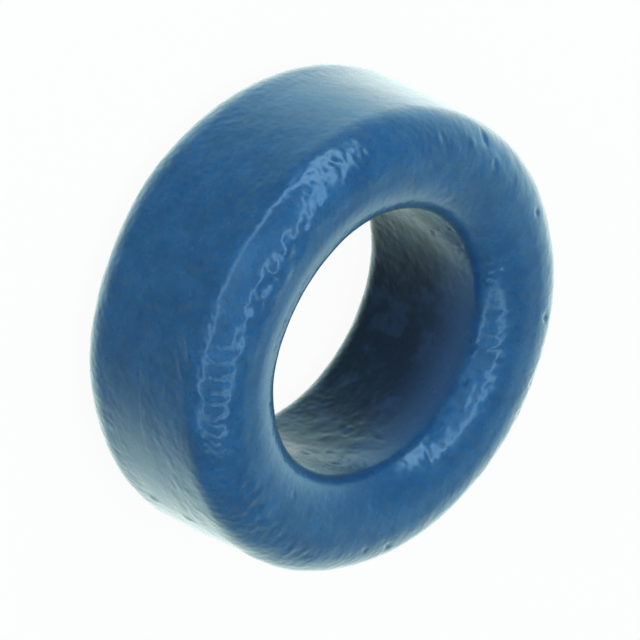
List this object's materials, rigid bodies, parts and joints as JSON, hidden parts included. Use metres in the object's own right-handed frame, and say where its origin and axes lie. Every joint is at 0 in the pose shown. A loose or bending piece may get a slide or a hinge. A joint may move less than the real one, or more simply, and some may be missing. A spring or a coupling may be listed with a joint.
{
  "type": "ferrite toroid core",
  "caption": "Coated ferrite ring core for winding chokes and transformers, with rounded edges and an open bore.",
  "frame": {"origin": "centre of the ring, on the face that it lies on", "axes": "+Z along the ring's axis, up out of the bore; X and Y are any two directions across it, as the ring is round"},
  "size_m": [0.0176, 0.0176, 0.0074],
  "materials": {
    "blue_coat": "glossy blue epoxy coat with a fine orange-peel surface"
  },
  "bodies": {
    "root": {"toroid_core": "blue_coat"}
  },
  "joints": []
}
